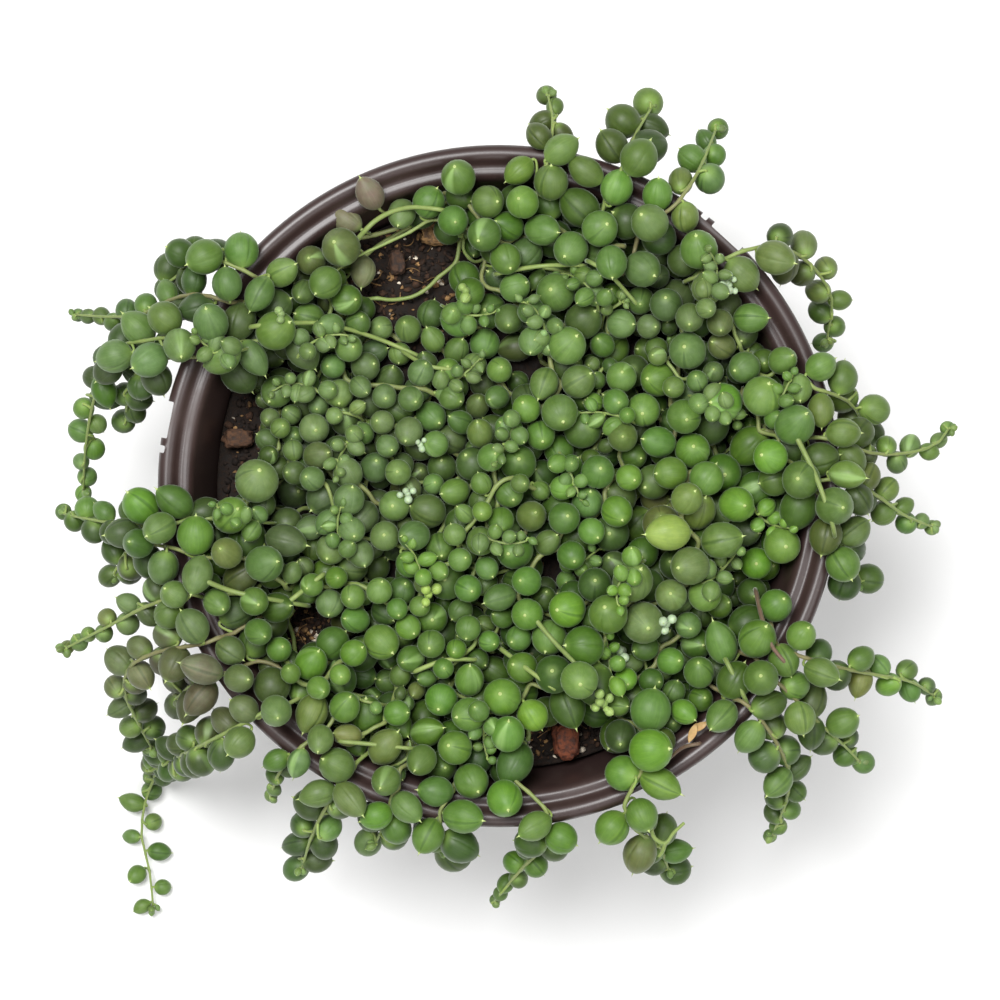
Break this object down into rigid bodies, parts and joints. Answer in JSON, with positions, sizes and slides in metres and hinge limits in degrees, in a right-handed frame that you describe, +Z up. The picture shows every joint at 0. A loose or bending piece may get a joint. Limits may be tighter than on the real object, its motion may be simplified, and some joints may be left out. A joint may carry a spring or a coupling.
{
  "type": "potted string of pearls",
  "caption": "Trailing succulent with bead-like round leaves filling a round nursery pot, its thin stems creeping over the mix and hanging over the rim.",
  "frame": {"origin": "middle of the pot's flat base, where it rests", "axes": "+Z up the pot's axis; +X to the right and +Y away from the viewer as seen from above"},
  "size_m": [0.2197, 0.212, 0.1208],
  "materials": {
    "pot_plastic": "satin, dark brown",
    "potting_mix": "rough, damp",
    "bark": "rough",
    "leaf_green": "waxy, semi-gloss"
  },
  "bodies": {
    "root": {"pot": "pot_plastic", "potting_mix": "potting_mix", "bark_red": "bark", "bark_wall": "bark", "bark_north": "bark", "bark_side": "bark", "creeper_01": "leaf_green", "creeper_02": "leaf_green", "creeper_03": "leaf_green", "creeper_04": "leaf_green", "creeper_05": "leaf_green", "creeper_06": "leaf_green", "creeper_07": "leaf_green", "creeper_08": "leaf_green", "creeper_09": "leaf_green", "creeper_10": "leaf_green", "creeper_11": "leaf_green", "creeper_12": "leaf_green", "creeper_13": "leaf_green", "creeper_14": "leaf_green", "creeper_15": "leaf_green", "creeper_16": "leaf_green", "creeper_17": "leaf_green", "creeper_18": "leaf_green", "creeper_19": "leaf_green", "creeper_20": "leaf_green", "creeper_21": "leaf_green", "creeper_22": "leaf_green", "creeper_23": "leaf_green", "creeper_24": "leaf_green", "creeper_25": "leaf_green", "creeper_26": "leaf_green", "strand_northwest": "leaf_green", "strand_west_a": "leaf_green", "strand_west_b": "leaf_green", "strand_west_c": "leaf_green", "strand_left_a": "leaf_green", "strand_left_b": "leaf_green", "strand_lowleft_a": "leaf_green", "strand_lowleft_b": "leaf_green", "strand_lowleft_c": "leaf_green", "strand_long": "leaf_green", "strand_south_a": "leaf_green", "strand_south_b": "leaf_green", "strand_south_c": "leaf_green", "strand_south_d": "leaf_green", "strand_south_e": "leaf_green", "strand_south_f": "leaf_green", "strand_southeast_a": "leaf_green", "strand_southeast_b": "leaf_green", "strand_east_a": "leaf_green", "strand_east_b": "leaf_green", "strand_east_c": "leaf_green", "strand_east_d": "leaf_green", "strand_east_e": "leaf_green", "strand_northeast_a": "leaf_green", "strand_north_a": "leaf_green", "strand_north_b": "leaf_green", "strand_north_c": "leaf_green", "strand_inner_arc": "leaf_green"}
  },
  "joints": []
}
